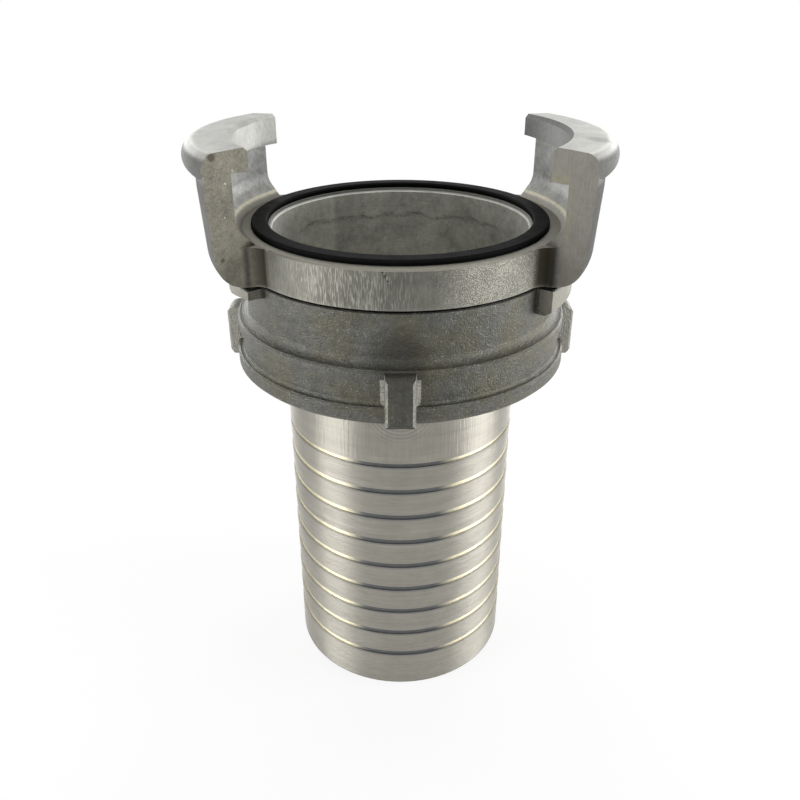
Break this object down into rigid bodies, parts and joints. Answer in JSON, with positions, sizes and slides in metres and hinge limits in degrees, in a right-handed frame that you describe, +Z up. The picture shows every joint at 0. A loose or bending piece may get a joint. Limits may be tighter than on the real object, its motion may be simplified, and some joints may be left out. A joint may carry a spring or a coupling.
{
  "type": "hose coupling",
  "caption": "Symmetrical claw hose coupling half: ridged hose tail, flange with claws and gasket, and a turning locking ring with clamping rims and spanner lugs.",
  "frame": {"origin": "centre of the hose tail's lower end face", "axes": "+Z up the waterway to the sealing face and the claws, X through the middle of both claws, the picture's front is -Y"},
  "size_m": [0.1724, 0.1526, 0.2521],
  "materials": {
    "body_aluminium": "cast aluminium, turned on the tail, flange and bore, dull rough casting skin on the claws",
    "gasket_rubber": "black moulded rubber with a slight sheen on its flat top",
    "ring_aluminium": "cast aluminium, dull and slightly pitted, turned on the band and the edges",
    "wire_steel": "drawn stainless spring wire"
  },
  "bodies": {
    "claw_body": {"claw_body": "body_aluminium", "gasket": "gasket_rubber", "retaining_wire": "wire_steel"},
    "locking_ring": {"locking_ring": "ring_aluminium"}
  },
  "joints": [
    {"name": "ring_turn", "type": "hinge", "parent": "claw_body", "child": "locking_ring", "pos_m": [0, 0, 0.178], "axis": [0, 0, 1], "continuous": true}
  ]
}
